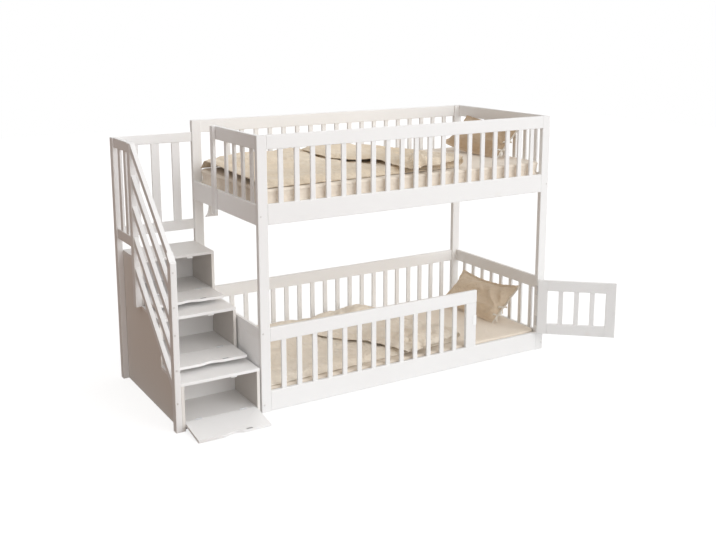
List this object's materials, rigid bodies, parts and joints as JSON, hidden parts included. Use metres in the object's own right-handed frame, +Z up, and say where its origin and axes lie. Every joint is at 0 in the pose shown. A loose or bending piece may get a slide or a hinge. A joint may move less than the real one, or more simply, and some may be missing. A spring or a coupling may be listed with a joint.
{
  "type": "bunk bed",
  "caption": "White slatted bunk bed with full guards, a hinged gate on the lower bed and a storage staircase with drop-down flaps, made up with mattresses and bedding.",
  "frame": {"origin": "under the middle of the front left bed post's foot, on the floor", "axes": "+X along the bed away from the staircase, +Y from the front to the back, +Z up"},
  "size_m": [2.8663, 1.317, 1.555],
  "materials": {
    "white_paint": "satin white paint on wood",
    "inside_paint": "matt white paint on board",
    "bare_pine": "planed, unpainted",
    "steel": "zinc plated",
    "white_plastic": "moulded",
    "ticking": "woven cotton cover",
    "linen": "washed cotton"
  },
  "bodies": {
    "root": {"post_front_left": "white_paint", "post_front_right": "white_paint", "post_back_left": "white_paint", "post_back_right": "white_paint", "deck_rail_front": "white_paint", "deck_rail_back": "white_paint", "deck_rail_left": "white_paint", "deck_rail_right": "white_paint", "guard_rail_front": "white_paint", "guard_rail_back": "white_paint", "guard_rail_left": "white_paint", "guard_rail_right": "white_paint", "guard_slats_front": "white_paint", "guard_slats_back": "white_paint", "guard_slats_ends": "white_paint", "entrance_post": "white_paint", "base_rail_front": "white_paint", "base_rail_back": "white_paint", "base_rail_right": "white_paint", "end_boards_left": "white_paint", "lower_rail_front": "white_paint", "lower_rail_back": "white_paint", "lower_rail_right": "white_paint", "lower_slats_front": "white_paint", "lower_slats_back": "white_paint", "lower_slats_right": "white_paint", "gate_jamb": "white_paint", "stair_post_front": "white_paint", "stair_post_middle": "white_paint", "stair_post_back": "white_paint", "stair_sides": "white_paint", "tread_low": "white_paint", "tread_middle": "white_paint", "tread_top": "white_paint", "stair_guard_rails": "white_paint", "stair_guard_slats": "white_paint", "stair_bars": "white_paint", "box_boards": "inside_paint", "slat_ledgers": "bare_pine", "cross_slats_upper": "bare_pine", "cross_slats_lower": "bare_pine", "hinge_bases": "steel", "hinge_pins": "steel", "magnet_catches": "white_plastic", "mattress_upper": "ticking", "mattress_lower": "ticking", "duvet_upper": "linen", "duvet_lower": "linen", "pillow_upper": "linen", "pillow_lower": "linen"},
    "gate": {"gate_frame": "white_paint", "gate_slats": "white_paint", "gate_fittings": "steel"},
    "flap_low": {"flap_low": "white_paint", "flap_low_fittings": "steel"},
    "flap_middle": {"flap_middle": "white_paint", "flap_middle_fittings": "steel"},
    "flap_top": {"flap_top": "white_paint", "flap_top_fittings": "steel"}
  },
  "joints": [
    {"name": "gate_hinge", "type": "hinge", "parent": "root", "child": "gate", "pos_m": [1.9685, -0.0202, 0.306], "axis": [0, 0, 1], "range_deg": [-138.4, 35]},
    {"name": "low_flap_hinge", "type": "hinge", "parent": "root", "child": "flap_low", "pos_m": [-0.2675, 0.0037, 0.0472], "axis": [-1, 0, 0], "range_deg": [0, 98]},
    {"name": "middle_flap_hinge", "type": "hinge", "parent": "root", "child": "flap_middle", "pos_m": [-0.2675, 0.3087, 0.3157], "axis": [-1, 0, 0], "range_deg": [0, 90]},
    {"name": "top_flap_hinge", "type": "hinge", "parent": "root", "child": "flap_top", "pos_m": [-0.2675, 0.6137, 0.5842], "axis": [-1, 0, 0], "range_deg": [0, 90]}
  ]
}
